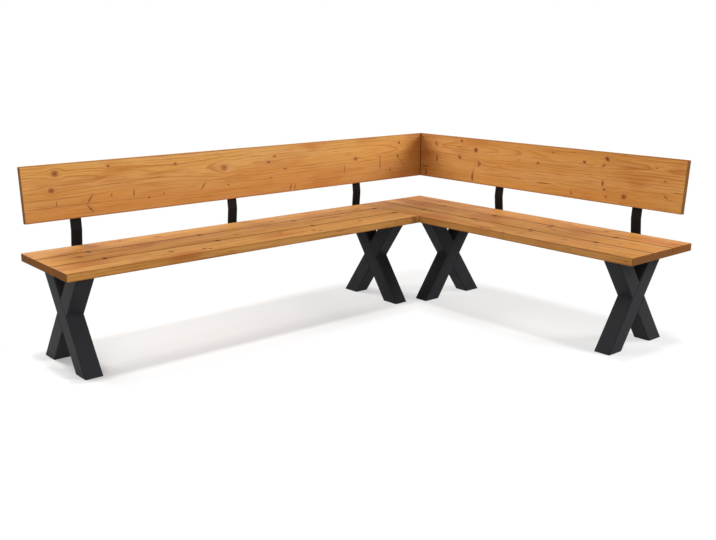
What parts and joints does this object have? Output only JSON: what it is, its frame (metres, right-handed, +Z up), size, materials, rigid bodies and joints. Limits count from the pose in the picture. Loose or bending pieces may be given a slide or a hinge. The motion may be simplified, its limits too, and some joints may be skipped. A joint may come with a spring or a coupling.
{
  "type": "corner bench",
  "caption": "L-shaped slatted plank bench on crossed square-tube legs, with leaning mitred back boards carried on cranked flat brackets; seats people round a corner.",
  "frame": {"origin": "on the floor, under the middle of the box round the whole bench", "axes": "+Z up; X along the long bench, whose back is at +Y; the short bench is at the +X end and runs along Y toward -Y, with its back at +X, so the outer corner of the backs is at +X, +Y"},
  "size_m": [2.4629, 1.7929, 0.8268],
  "materials": {
    "seat_wood": "oiled softwood planks, satin, honey brown with darker knots",
    "back_wood": "oiled softwood boards, satin, honey brown with darker knots",
    "frame_steel": "black powder coat, satin",
    "bracket_steel": "black powder coat, satin",
    "screw_steel": "black oxide, satin"
  },
  "bodies": {
    "root": {"long_seat_plank_front": "seat_wood", "long_seat_plank_middle": "seat_wood", "long_seat_plank_rear": "seat_wood", "short_seat_plank_front": "seat_wood", "short_seat_plank_middle": "seat_wood", "short_seat_plank_rear": "seat_wood", "long_back_board": "back_wood", "short_back_board": "back_wood", "long_end_bracket": "bracket_steel", "long_middle_bracket": "bracket_steel", "corner_bracket": "bracket_steel", "short_inner_bracket": "bracket_steel", "short_end_bracket": "bracket_steel", "long_end_through_leg": "frame_steel", "long_end_upper_leg": "frame_steel", "long_end_lower_leg": "frame_steel", "long_end_top_plate": "frame_steel", "long_end_foot_plates": "frame_steel", "long_corner_through_leg": "frame_steel", "long_corner_upper_leg": "frame_steel", "long_corner_lower_leg": "frame_steel", "long_corner_top_plate": "frame_steel", "long_corner_foot_plates": "frame_steel", "short_corner_through_leg": "frame_steel", "short_corner_upper_leg": "frame_steel", "short_corner_lower_leg": "frame_steel", "short_corner_top_plate": "frame_steel", "short_corner_foot_plates": "frame_steel", "short_end_through_leg": "frame_steel", "short_end_upper_leg": "frame_steel", "short_end_lower_leg": "frame_steel", "short_end_top_plate": "frame_steel", "short_end_foot_plates": "frame_steel", "seat_screws": "screw_steel", "back_screws": "screw_steel", "back_corner_angle": "bracket_steel", "angle_screws": "screw_steel"}
  },
  "joints": []
}
